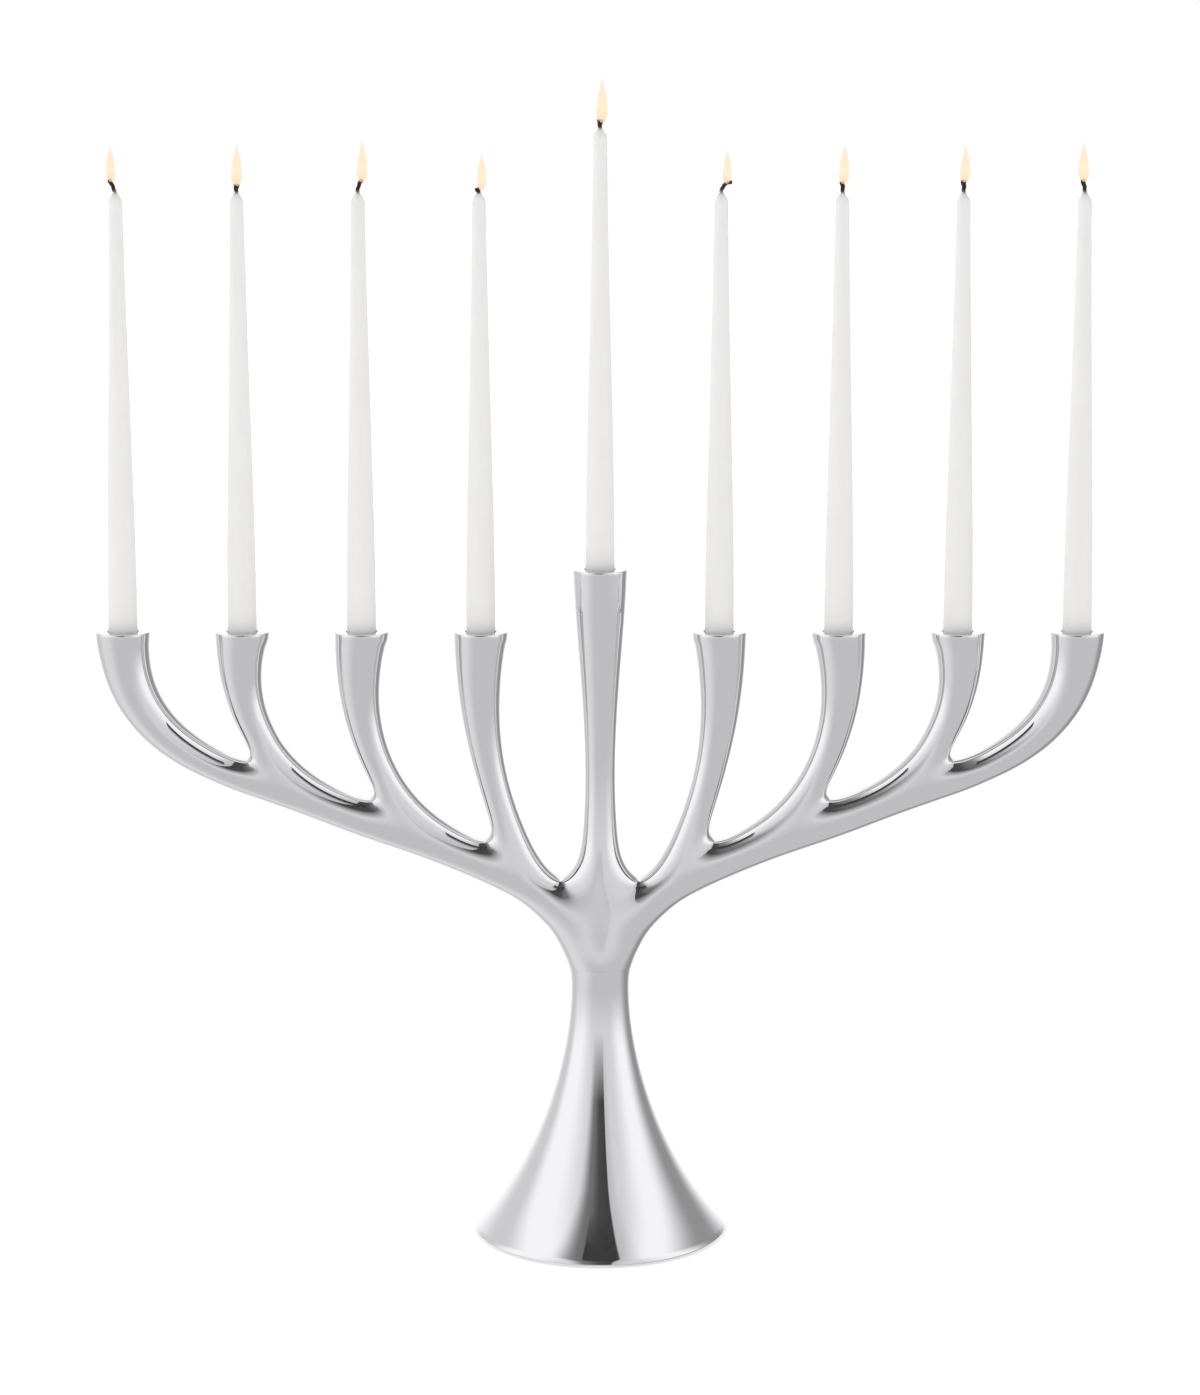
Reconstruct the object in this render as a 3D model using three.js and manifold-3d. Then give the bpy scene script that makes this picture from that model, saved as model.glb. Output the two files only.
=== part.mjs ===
// Nine-branch menorah: a one-piece polished branch casting bolted down onto a hollow
// trumpet foot, with nine taper candles standing loose in their sockets.
// Millimetres, +Z up, +X to the right, +Y away from the viewer, origin on the table.
import * as THREE from "three";
import { mergeVertices } from "three/addons/utils/BufferGeometryUtils.js";
import Module from "manifold-3d";

// ---------------------------------------------------------------- driving dimensions
const GAP = 0.3; // clearance left between pieces that touch

const CUP_PITCH = 43.5; // between neighbouring candle cups
const SIDE_RIM_Z = 225; // flat rims of the eight side cups
const SHAMASH_RIM_Z = 248; // flat rim of the raised centre cup
const RIM_RADIUS = 10;
const SOCKET_RADIUS = 5.65;
const SOCKET_DEPTH = 13.8;

const BRANCH_RADIUS = 5.4; // round branch below its cup
const CUP_FLARE = 60; // height over which a branch swells into its cup
const BOUGH_REACH = 124; // sideways reach of the lower limb that carries the outer cups
const BOUGH_ROOT_RADIUS = 7.4;
const BOUGH_TIP_RADIUS = 5.8;
const STEM_ROOT_Z = 135; // centre stem where it rises out of the hub
const STEM_ROOT_RADIUS = 10.5;
const STEM_WAIST_Z = 171; // thinnest place of the centre stem
const STEM_WAIST_RADIUS = 5.5;

const PAD_RADIUS = 44.5;
const PAD_THICKNESS = 1.5;
const LIP_Z = 0.5; // underside of the foot's lip, which hides the edge of the pad
const FOOT_RADIUS = 47.2;
const FOOT_WALL = 4.3;
const WAIST_RADIUS = 10.9; // narrowest place of the foot
const WAIST_Z = 91.8;
const SEAM_Z = 100.3; // top face of the foot, where the casting sits
const SEAM_RADIUS = 12.3;

const STUD_RADIUS = 4; // M8 stud through the joint
const STUD_BOTTOM_Z = 57;
const STUD_TOP_Z = 119;
const SHOULDER_Z = 73; // inner face of the foot that the nut pulls on
const SHOULDER_RADIUS = 8.8;
const WASHER_RADIUS = 8;
const WASHER_THICKNESS = 1.6;
const LOCK_WASHER_RADIUS = 7;
const LOCK_WASHER_THICKNESS = 1.8;
const NUT_RADIUS = 7.5; // across its corners
const NUT_HEIGHT = 6.5;

const CANDLE_RADIUS = 5.35;
const CANDLE_BASE_Z = -13.5; // candle heights are measured from the rim of its cup
const CANDLE_TOP_Z = 159;
const WICK_RADIUS = 0.65;
const WICK_BORE_RADIUS = 1;

// How far each charred wick end leans in X and stands out of the wax.
const CUPS = [
  { name: "candle_1", place: -4, lean: -2.2, stands: 5 },
  { name: "candle_2", place: -3, lean: 0, stands: 3.5 },
  { name: "candle_3", place: -2, lean: 1.6, stands: 5 },
  { name: "candle_4", place: -1, lean: -0.4, stands: 3.5 },
  { name: "shamash_candle", place: 0, lean: 0.5, stands: 4 },
  { name: "candle_5", place: 1, lean: 3.4, stands: 4.4 },
  { name: "candle_6", place: 2, lean: 0.3, stands: 3.5 },
  { name: "candle_7", place: 3, lean: 0, stands: 5 },
  { name: "candle_8", place: 4, lean: -0.8, stands: 5 },
];
for (const cup of CUPS) {
  cup.x = cup.place * CUP_PITCH;
  cup.rimZ = cup.place === 0 ? SHAMASH_RIM_Z : SIDE_RIM_Z;
}

// ---------------------------------------------------------------- materials
const polished = new THREE.MeshStandardMaterial({ color: 0xdcdcdd, roughness: 0.08, metalness: 1 });
const steel = new THREE.MeshStandardMaterial({ color: 0xb4b6b8, roughness: 0.35, metalness: 1 });
const felt = new THREE.MeshStandardMaterial({ color: 0x2b2b2d, roughness: 1, metalness: 0 });
const wax = new THREE.MeshStandardMaterial({ color: 0xefefef, roughness: 0.45, metalness: 0 });
const cotton = new THREE.MeshStandardMaterial({ color: 0x2a2422, roughness: 0.95, metalness: 0 });

// ---------------------------------------------------------------- joining and cutting
const wasm = await Module();
wasm.setup();

function solid(geometry) {
  const bare = geometry.clone();
  bare.deleteAttribute("normal");
  bare.deleteAttribute("uv");
  const merged = mergeVertices(bare, 1e-4);
  return new wasm.Manifold(
    new wasm.Mesh({
      numProp: 3,
      vertProperties: merged.attributes.position.array,
      triVerts: new Uint32Array(merged.index.array),
    }),
  );
}

function geometryOf(body) {
  const mesh = body.getMesh();
  const geometry = new THREE.BufferGeometry();
  geometry.setAttribute("position", new THREE.BufferAttribute(mesh.vertProperties, 3));
  geometry.setIndex(new THREE.BufferAttribute(mesh.triVerts, 1));
  geometry.computeVertexNormals();
  return geometry;
}

function named(name, geometry, material) {
  const mesh = new THREE.Mesh(geometry, material);
  mesh.name = name;
  return mesh;
}

// ---------------------------------------------------------------- shapes
const point = ([x, z]) => new THREE.Vector3(x, 0, z);

// An upright cylinder between two heights.
function post(radius, bottom, top, sides) {
  return new THREE.CylinderGeometry(radius, radius, top - bottom, sides)
    .rotateX(Math.PI / 2)
    .translate(0, 0, (top + bottom) / 2);
}

// A solid turned about the Z axis from [radius, height] points.
function turned(profile, sides) {
  const outline = profile.map(([radius, height]) => new THREE.Vector2(radius, height));
  return new THREE.LatheGeometry(outline, sides).rotateX(Math.PI / 2);
}

function ring(outer, inner, bottom, top, sides) {
  return turned([[inner, bottom], [outer, bottom], [outer, top], [inner, top], [inner, bottom]], sides);
}

// A round limb along a curve in the XZ plane, with a radius worked out for each place on it.
function limb(curve, radiusAt, sides, steps) {
  const geometry = new THREE.CylinderGeometry(1, 1, 1, sides, steps);
  const position = geometry.attributes.position;
  const local = new THREE.Vector3();
  for (let i = 0; i < position.count; i++) {
    local.fromBufferAttribute(position, i);
    const along = THREE.MathUtils.clamp(local.y + 0.5, 0, 1);
    const centre = curve.getPoint(along);
    const tangent = curve.getTangent(along);
    const radius = radiusAt(centre);
    centre.addScaledVector(new THREE.Vector3(-tangent.z, 0, tangent.x), local.x * radius);
    centre.y += local.z * radius;
    position.setXYZ(i, centre.x, centre.y, centre.z);
  }
  return geometry;
}

// ---------------------------------------------------------------- branch casting
// Each side branch leaves the bough at its first point and ends upright in its cup. The
// higher its swell, the later it widens on the way up.
const SIDE_BRANCHES = [
  { place: 1, swell: 1.4, route: [[16, 121], [45.8, 158.4], [45.7, 204.1]] },
  { place: 2, swell: 1.7, route: [[54, 144.5], [88.9, 166.3], [90.7, 202]] },
  { place: 3, swell: 2.1, route: [[98, 159.4], [118.4, 172.5], [135.8, 192.2]] },
  { place: 4, swell: 1, route: [[124, 168], [147.9, 176.5], [175.1, 189]] },
];
const BOUGH = [[4, 104], [8.5, 111], [18.4, 123.4], [32.4, 133.1], [59.6, 145], [101.3, 159.3], [124, 168]];
const NECK = [[0, SEAM_Z], [SEAM_RADIUS, SEAM_Z], [12.9, 104], [12, 112], [0, 123]];

function sideRadius(centre, swell) {
  const below = Math.min(1, (SIDE_RIM_Z - centre.z) / CUP_FLARE);
  return THREE.MathUtils.lerp(BRANCH_RADIUS, RIM_RADIUS, (1 - below) ** swell);
}

function boughRadius(centre) {
  const outwards = Math.min(1, Math.abs(centre.x) / BOUGH_REACH);
  return THREE.MathUtils.lerp(BOUGH_ROOT_RADIUS, BOUGH_TIP_RADIUS, outwards);
}

function stemRadius(centre) {
  if (centre.z < STEM_WAIST_Z) {
    const down = Math.min(1, (STEM_WAIST_Z - centre.z) / (STEM_WAIST_Z - STEM_ROOT_Z));
    return THREE.MathUtils.lerp(STEM_WAIST_RADIUS, STEM_ROOT_RADIUS, down ** 2.2);
  }
  const up = THREE.MathUtils.smoothstep(centre.z, STEM_WAIST_Z, SHAMASH_RIM_Z);
  return THREE.MathUtils.lerp(STEM_WAIST_RADIUS, RIM_RADIUS, up);
}

function stem() {
  const line = new THREE.LineCurve3(point([0, 112]), point([0, SHAMASH_RIM_Z]));
  return solid(limb(line, stemRadius, 18, 12));
}

function bough() {
  const curve = new THREE.CatmullRomCurve3(BOUGH.map(point), false, "centripetal");
  return limb(curve, boughRadius, 12, 14);
}

function sideBranch({ place, swell, route }) {
  const end = point([place * CUP_PITCH, SIDE_RIM_Z]);
  const curve = new THREE.CubicBezierCurve3(...route.map(point), end);
  return limb(curve, (centre) => sideRadius(centre, swell), 14, 12);
}

function socket({ x, rimZ }) {
  return solid(post(SOCKET_RADIUS, rimZ - SOCKET_DEPTH, rimZ + 1, 18).translate(x, 0, 0));
}

function branchCasting() {
  let body = solid(turned(NECK, 28)).add(stem());
  for (const arm of [bough(), ...SIDE_BRANCHES.map(sideBranch)]) {
    body = body.add(solid(arm)).add(solid(arm.clone().rotateZ(Math.PI)));
  }
  for (const cup of CUPS) body = body.subtract(socket(cup));
  const threadedHole = solid(post(STUD_RADIUS + GAP, SEAM_Z, STUD_TOP_Z + GAP, 16));
  const belowSeam = solid(post(RIM_RADIUS * 2, SEAM_Z - 10, SEAM_Z + GAP, 8));
  return geometryOf(body.subtract(threadedHole).subtract(belowSeam));
}

// ---------------------------------------------------------------- trumpet foot
// The flare follows one curve outside, and inside it the same curve one wall further in.
const FLARE = [[WAIST_RADIUS, WAIST_Z], [WAIST_RADIUS, 61], [25.5, 22.5], [FOOT_RADIUS, 1.4]];

function trumpetFoot() {
  const seatZ = PAD_THICKNESS + GAP; // the pad is glued in a shallow step inside the lip
  const flare = new THREE.CubicBezierCurve(...FLARE.map((pair) => new THREE.Vector2(...pair)));
  const outside = flare.getPoints(12).reverse();
  const inside = [0.36, 0.48, 0.6, 0.72, 0.84].map((share) => {
    const tangent = flare.getTangent(share);
    return flare.getPoint(share).add(new THREE.Vector2(tangent.y, -tangent.x).multiplyScalar(FOOT_WALL));
  });
  const outline = [
    [PAD_RADIUS - 2, seatZ],
    [PAD_RADIUS + GAP, seatZ],
    [PAD_RADIUS + GAP, LIP_Z],
    [FOOT_RADIUS - 0.8, LIP_Z],
    ...outside.map((p) => [p.x, p.y]),
    [11.3, 96.5],
    [SEAM_RADIUS, SEAM_Z],
    [STUD_RADIUS + GAP, SEAM_Z],
    [STUD_RADIUS + GAP, SHOULDER_Z],
    [SHOULDER_RADIUS, SHOULDER_Z],
    ...inside.map((p) => [p.x, p.y]),
    [PAD_RADIUS - 2, seatZ],
  ];
  return turned(outline, 44);
}

// ---------------------------------------------------------------- fasteners
// A spring washer is split, so its ring stops short of closing.
function lockWasher(top) {
  const slit = 0.12;
  const outline = new THREE.Shape();
  outline.absarc(0, 0, LOCK_WASHER_RADIUS, slit, 2 * Math.PI - slit, false);
  outline.absarc(0, 0, STUD_RADIUS + GAP, 2 * Math.PI - slit, slit, true);
  const settings = { depth: LOCK_WASHER_THICKNESS, bevelEnabled: false, curveSegments: 12 };
  return new THREE.ExtrudeGeometry(outline, settings).translate(0, 0, top - LOCK_WASHER_THICKNESS);
}

function nut(top) {
  const hexagon = solid(post(NUT_RADIUS, top - NUT_HEIGHT, top, 6));
  return geometryOf(hexagon.subtract(solid(post(STUD_RADIUS + GAP, top - NUT_HEIGHT - 1, top + 1, 16))));
}

// ---------------------------------------------------------------- candles
// Outline of a dipped taper: [radius, height] with its shoulder and blunt tip.
const TAPER = [[5.3, 9], [4.95, 38], [4.35, 60], [3.8, 90], [3.15, 120], [2.6, 149], [2.5, 156]];

function candle({ x, rimZ }) {
  const outline = [
    [WICK_BORE_RADIUS, CANDLE_BASE_Z],
    [CANDLE_RADIUS, CANDLE_BASE_Z],
    ...TAPER,
    [WICK_BORE_RADIUS, CANDLE_TOP_Z],
    [WICK_BORE_RADIUS, CANDLE_BASE_Z],
  ];
  return turned(outline, 16).translate(x, 0, rimZ);
}

// A wick runs the whole length of its candle, and its free end leans over.
function wick({ x, rimZ, lean, stands }) {
  const mouthZ = rimZ + CANDLE_TOP_Z;
  const knee = point([x, mouthZ + stands * 0.6]);
  const end = point([x + lean, mouthZ + stands]);
  const free = new THREE.QuadraticBezierCurve3(point([x, mouthZ - 1]), knee, end);
  const held = solid(post(WICK_RADIUS, rimZ + CANDLE_BASE_Z + GAP, mouthZ, 6).translate(x, 0, 0));
  return geometryOf(held.add(solid(limb(free, () => WICK_RADIUS, 6, 5))));
}

// ---------------------------------------------------------------- assembly
const menorah = new THREE.Group();
menorah.name = "menorah";

menorah.add(named("branch_casting", branchCasting(), polished));
menorah.add(named("trumpet_foot", trumpetFoot(), polished));
menorah.add(named("foot_pad", post(PAD_RADIUS, 0, PAD_THICKNESS, 44), felt));

const washerTop = SHOULDER_Z - GAP;
const lockWasherTop = washerTop - WASHER_THICKNESS - GAP;
const nutTop = lockWasherTop - LOCK_WASHER_THICKNESS - GAP;
const washer = ring(WASHER_RADIUS, STUD_RADIUS + GAP, washerTop - WASHER_THICKNESS, washerTop, 24);
menorah.add(named("clamp_stud", post(STUD_RADIUS, STUD_BOTTOM_Z, STUD_TOP_Z, 16), steel));
menorah.add(named("clamp_washer", washer, steel));
menorah.add(named("lock_washer", lockWasher(lockWasherTop), steel));
menorah.add(named("clamp_nut", nut(nutTop), steel));

for (const cup of CUPS) {
  menorah.add(named(cup.name, candle(cup), wax));
  menorah.add(named(cup.name.replace("candle", "wick"), wick(cup), cotton));
}

export default menorah;
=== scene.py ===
"""Nine-branch menorah, finished around its packed frame.

A polished branch casting and trumpet foot, a felt foot pad, the clamping hardware inside the foot,
nine dipped tapers with braided wicks and flames, and the studio they stand in.
"""

import math

import bmesh
import bpy
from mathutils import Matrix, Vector
from mathutils.geometry import interpolate_bezier


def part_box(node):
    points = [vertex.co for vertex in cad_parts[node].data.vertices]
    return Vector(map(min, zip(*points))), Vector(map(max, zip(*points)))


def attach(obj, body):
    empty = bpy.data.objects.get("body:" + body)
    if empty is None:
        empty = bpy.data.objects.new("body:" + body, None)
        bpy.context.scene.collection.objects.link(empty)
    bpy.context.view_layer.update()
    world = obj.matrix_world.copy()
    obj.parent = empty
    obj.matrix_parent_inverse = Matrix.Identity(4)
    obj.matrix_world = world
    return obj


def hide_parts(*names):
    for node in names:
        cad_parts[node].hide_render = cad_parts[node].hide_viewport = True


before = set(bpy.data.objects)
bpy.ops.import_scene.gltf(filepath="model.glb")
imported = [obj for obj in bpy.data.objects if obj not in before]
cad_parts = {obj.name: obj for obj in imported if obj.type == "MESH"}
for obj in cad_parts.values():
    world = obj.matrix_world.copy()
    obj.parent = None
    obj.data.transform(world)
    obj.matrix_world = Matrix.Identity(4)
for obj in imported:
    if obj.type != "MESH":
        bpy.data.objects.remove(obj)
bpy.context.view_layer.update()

bl_info = {
    "name": "Nine-Branch Menorah",
    "version": (1, 0, 0),
    "blender": (4, 5, 0),
    "location": "3D View > Sidebar > Menorah",
    "description": "Models and finishes a polished menorah with lit tapers around its frame",
    "category": "Object",
}

MM = 0.001
SHAMASH = "shamash_candle"
CANDLES = [*(f"candle_{number}" for number in range(1, 9)), SHAMASH]
HARDWARE = ("clamp_stud", "clamp_washer", "lock_washer", "clamp_nut")


# ---------------------------------------------------------------- settings


def linear(hex_colour):
    """An sRGB hex colour as linear red, green and blue."""
    parts = [int(hex_colour[i:i + 2], 16) / 255 for i in (1, 3, 5)]
    return tuple(c / 12.92 if c <= 0.04045 else ((c + 0.055) / 1.055) ** 2.4 for c in parts)


def length_setting(name, description, default):
    return bpy.props.FloatProperty(
        name=name, description=description, default=default, min=0.0, unit="LENGTH", precision=5
    )


def colour_setting(name, description, hex_colour):
    return bpy.props.FloatVectorProperty(
        name=name, description=description, default=linear(hex_colour), subtype="COLOR", size=3,
        min=0.0, max=1.0,
    )


class CastingSettings(bpy.types.PropertyGroup):
    """Sizes and colour of the branch casting."""

    rim_radius: length_setting("Rim radius", "Outside radius of every candle cup", 0.0101)
    socket_radius: length_setting("Socket radius", "Radius of the bore that holds a taper", 0.00565)
    socket_depth: length_setting("Socket depth", "Depth of the bore below the rim", 0.0138)
    branch_radius: length_setting("Branch radius", "Radius of a branch below its cup", 0.0054)
    cup_flare: length_setting("Cup flare", "Height over which a branch widens into its cup", 0.060)
    stem_waist: length_setting("Stem waist", "Radius of the centre stem at its thinnest", 0.0055)
    hole_radius: length_setting("Stud hole radius", "Radius of the hole for the stud", 0.0043)
    metal: colour_setting("Metal", "Colour of the polished aluminium", "#E6E6E8")


class FootSettings(bpy.types.PropertyGroup):
    """Sizes of the trumpet foot and its felt pad."""

    waist_radius: length_setting("Waist radius", "Radius of the foot at its thinnest", 0.0109)
    wall: length_setting("Wall", "Thickness of the cast wall", 0.0043)
    seam_radius: length_setting("Seam radius", "Radius where the casting sits on the foot", 0.01227)
    felt: colour_setting("Felt", "Colour of the felt pad", "#2C2C2F")
    steel: colour_setting("Steel", "Colour of the plated steel hardware", "#B9BBBD")


class CandleSettings(bpy.types.PropertyGroup):
    """Sizes and colours of the tapers, wicks and flames."""

    base_radius: length_setting("Base radius", "Radius of a taper at its foot", 0.00535)
    shoulder_radius: length_setting("Shoulder radius", "Radius of a taper at its shoulder", 0.0026)
    wick_radius: length_setting("Wick radius", "Radius of a braided wick", 0.00065)
    bore_radius: length_setting("Bore radius", "Radius of the wick's bore in the wax", 0.001)
    wax: colour_setting("Wax", "Colour of the dipped wax", "#F1F0EF")
    cotton: colour_setting("Cotton", "Colour of an unburnt wick", "#D8C7AC")
    char: colour_setting("Char", "Colour of a burnt wick", "#241A16")
    flame: colour_setting("Flame", "Colour of a flame's bright middle", "#FFF0CF")
    flame_edge: colour_setting("Flame edge", "Colour of a flame's foot and tip", "#FFDDB8")


class StudioSettings(bpy.types.PropertyGroup):
    """Distances and tones of the studio."""

    camera_distance: length_setting("Camera distance", "From the menorah's plane", 1.322)
    camera_height: length_setting("Camera height", "Above the table", 0.469)
    camera_pitch: bpy.props.FloatProperty(
        name="Camera pitch", description="How far the camera looks down",
        default=math.radians(8.0), subtype="ANGLE",
    )
    camera_shift: bpy.props.FloatProperty(
        name="Camera shift", description="Vertical lens shift, as a share of the frame's long side",
        default=-0.161, subtype="FACTOR", min=-0.5, max=0.5,
    )
    lens: bpy.props.FloatProperty(
        name="Lens", description="Focal length in millimetres", default=95.0, min=10.0, unit="CAMERA"
    )
    lamp_power: bpy.props.FloatProperty(
        name="Lamp power", description="Power of the soft lamp above", default=2.5, min=0.0,
        unit="POWER",
    )
    floor_glow: bpy.props.FloatProperty(
        name="Floor glow", description="How much the floor lights itself", default=0.36, min=0.0,
        subtype="FACTOR", max=1.0,
    )
    floor_colour: colour_setting("Floor", "Colour of the pale floor", "#FBFBFB")
    backdrop: colour_setting("Backdrop", "Colour seen behind the menorah", "#FFFFFF")


SETTINGS = {
    "menorah_casting": CastingSettings,
    "menorah_foot": FootSettings,
    "menorah_candles": CandleSettings,
    "menorah_studio": StudioSettings,
}


# ---------------------------------------------------------------- mesh helpers


def finished(name, bm, material, body, slot, *nodes):
    """Turns a bmesh into a piece that rides on a body and stands for CAD nodes."""
    mesh = bpy.data.meshes.new(name)
    bm.to_mesh(mesh)
    bm.free()
    mesh.shade_smooth()
    piece = bpy.data.objects.new(name, mesh)
    bpy.context.scene.collection.objects.link(piece)
    mesh.materials.append(material)
    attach(piece, body)
    if nodes:
        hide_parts(*nodes)
    return piece


def subdivide(piece, levels):
    """Adds a subdivision surface that looks the same on screen and in a render."""
    surface = piece.modifiers.new("Subdivision", "SUBSURF")
    surface.levels = levels
    surface.render_levels = levels
    surface.use_limit_surface = True


def edge_between(bm, first, second):
    """The edge of two vertices, made if they have none yet."""
    return bm.edges.get((first, second)) or bm.edges.new((first, second))


def grow(bm, verts, places, closed=True):
    """Extrudes a loop or chain of vertices and moves each new vertex to its place."""
    pairs = list(zip(verts, verts[1:]))
    if closed:
        pairs.append((verts[-1], verts[0]))
    edges = [edge_between(bm, *pair) for pair in pairs]
    made = bmesh.ops.extrude_edge_only(bm, edges=edges)["geom"]
    fresh = {item for item in made if isinstance(item, bmesh.types.BMVert)}
    grown = []
    for old, place in zip(verts, places):
        new = next(e.other_vert(old) for e in old.link_edges if e.other_vert(old) in fresh)
        new.co = place
        grown.append(new)
    return grown


def turned(profile, steps, closed=True):
    """Spins an outline of (radius, height) points in metres about the Z axis. An outline that isn't
    closed starts and ends on the axis."""
    bm = bmesh.new()
    verts = [bm.verts.new((radius, 0, height)) for radius, height in profile]
    edges = [bm.edges.new(pair) for pair in zip(verts, verts[1:])]
    if closed:
        edges.append(bm.edges.new((verts[-1], verts[0])))
    bmesh.ops.spin(
        bm, geom=verts + edges, cent=(0, 0, 0), axis=(0, 0, 1), dvec=(0, 0, 0),
        angle=2 * math.pi, steps=steps, use_merge=True, use_duplicate=False,
    )
    bmesh.ops.remove_doubles(bm, verts=bm.verts[:], dist=1e-7)
    bmesh.ops.recalc_face_normals(bm, faces=bm.faces[:])
    return bm


def rounded_corner(corner, before, after, radius, steps=4):
    """Points of a small arc that eases an outline's corner between its two neighbours."""
    corner = Vector(corner)
    start = corner + (Vector(before) - corner).normalized() * radius
    end = corner + (Vector(after) - corner).normalized() * radius
    handle_a = corner.lerp(start, 0.45)
    handle_b = corner.lerp(end, 0.45)
    flat = [p.to_3d() for p in (start, handle_a, handle_b, end)]
    return [(p.x, p.y) for p in interpolate_bezier(*flat, steps + 1)]


# ---------------------------------------------------------------- branch casting
#
# The casting is one cage for a subdivision surface. Limbs are rings of eight vertices, the neck
# and the centre stem are rings of twelve of which only the right half is built, and the finished
# half is mirrored. Sizes in this section are in millimetres.

EIGHT = 1.108  # how much wider a cage ring of eight is than the round limb it gives
TWELVE = 1.047  # the same for a ring of twelve


def ring(centre, angle, width, depth):
    """Eight places round a limb that runs at an angle to the X axis, from its upper side."""
    across = Vector((-math.sin(math.radians(angle)), 0, math.cos(math.radians(angle))))
    middle = Vector((centre[0], 0, centre[1]))
    places = []
    for k in range(8):
        turn = math.radians(45 * k)
        spot = middle + across * (width * EIGHT * math.cos(turn))
        spot.y += depth * EIGHT * math.sin(turn)
        places.append(spot * MM)
    return places


def half_ring(height, width, depth):
    """Seven places round the right half of the neck or stem, from front to back."""
    turns = [math.radians(30 * k - 90) for k in range(7)]
    return [
        Vector((width * TWELVE * math.cos(t), depth * TWELVE * math.sin(t), height)) * MM
        for t in turns
    ]


def spots(*triples):
    return [Vector(triple) * MM for triple in triples]


def web(bm, centre, crotch, depth):
    """The three vertices of the web between two limbs, from back to front across the crotch."""
    top = Vector((crotch[0], 0, crotch[1]))
    inward = (Vector((centre[0], 0, centre[1])) - top).normalized()
    shoulder = top + inward * depth * 0.5
    places = [shoulder + Vector((0, depth, 0)), top, shoulder - Vector((0, depth, 0))]
    return [bmesh.ops.create_vert(bm, co=place * MM)["vert"][0] for place in places]


def fork(bm, collar, at, crotch, depth, upper, lower):
    """Splits a limb in two at its collar ring, and returns the rings of the upper and lower limbs.

    Each new limb takes half of the collar. A web of three vertices joins the halves across the
    crotch, and one face in front and one behind close the surface below it.
    """
    up = grow(bm, [collar[k] for k in (6, 7, 0, 1, 2)], [upper[k] for k in (6, 7, 0, 1, 2)], False)
    down = grow(bm, [collar[k] for k in (2, 3, 4, 5, 6)], [lower[k] for k in (2, 3, 4, 5, 6)], False)
    back, top, front = web(bm, at, crotch, depth)
    bmesh.ops.contextual_create(bm, geom=[collar[2], up[4], back, down[0]])
    bmesh.ops.contextual_create(bm, geom=[collar[6], down[4], front, up[0]])
    return (
        [up[2], up[3], up[4], back, top, front, up[0], up[1]],
        [top, back, down[0], down[1], down[2], down[3], down[4], front],
    )


def cup(bm, ring_verts, x, rim, places_at, settings):
    """Ends a limb in its flat-rimmed cup with a bored socket."""
    edge = 0.9  # of the flat rim, kept crisp by a second ring on both sides of it
    lead = 0.7  # the same inside the bore
    radius = settings.rim_radius / MM
    bore = settings.socket_radius / MM
    depth = settings.socket_depth / MM
    outline = [
        (radius - 0.15, rim - 3.4),
        (radius, rim - edge),
        (radius, rim),
        (radius - edge, rim),
        (bore + lead, rim),
        (bore, rim),
        (bore, rim - lead),
        (bore, rim - depth),
    ]
    verts = ring_verts
    for size, height in outline:
        verts = grow(bm, verts, places_at(x, height, size), len(verts) == 8)
    bmesh.ops.contextual_create(bm, geom=verts)


def side_cup_ring(x, height, radius):
    return ring((x, height), 90, radius, radius)


def stem_cup_ring(x, height, radius):
    return half_ring(height, radius, radius)


# Each branch runs on a Bezier curve from inside the bough to its cup. It is built from its first
# station on, a share of the curve just past the fork.
BRANCHES = [
    {"place": 1, "swell": 1.4, "from": 0.34, "route": [(16, 121), (45.8, 158.4), (45.7, 204.1)]},
    {"place": 2, "swell": 1.7, "from": 0.36, "route": [(54, 144.5), (88.9, 166.3), (90.7, 202)]},
    {"place": 3, "swell": 2.1, "from": 0.52, "route": [(98, 159.4), (118.4, 172.5), (135.8, 192.2)]},
    {"place": 4, "swell": 1.0, "from": 0.20, "route": [(124, 168), (147.9, 176.5), (175.1, 189)]},
]
PITCH = 43.5  # between neighbouring cups
SIDE_RIM = 225
SHAMASH_RIM = 248
SEAM = 100.32  # underside of the casting, a hairline above the foot
SEAT = 12.27  # its radius there, as wide as the top of the foot
HOLE_TOP = 119  # of the blind hole for the stud
BRANCH_END = 0.93  # share of a branch's curve where its cup begins

# Rings of the bough: the middle and direction of each, and half its width and depth.
FORKS = [
    {
        "collar": ((27.4, 132.1), 44, 8.5, 7.0), "crotch": (38.1, 144.3), "depth": 5.6,
        "upper": ((32.4, 146.8), 68, 5.9, 5.9), "lower": ((42.6, 138.2), 25, 6.9, 6.2),
    },
    {
        "collar": ((62.5, 147.3), 31, 7.7, 6.4), "crotch": (81.2, 160.3), "depth": 5.4,
        "upper": ((75.2, 162.6), 65, 6.2, 5.9), "lower": ((84.8, 153.6), 21, 6.7, 6.0),
    },
    {
        "collar": ((107.2, 163.2), 28, 7.1, 6.2), "crotch": (127.8, 176.9), "depth": 5.2,
        "upper": ((121.4, 178.8), 66, 6.3, 5.8), "lower": ((131.1, 170.6), 25, 6.3, 5.8),
    },
]


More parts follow.
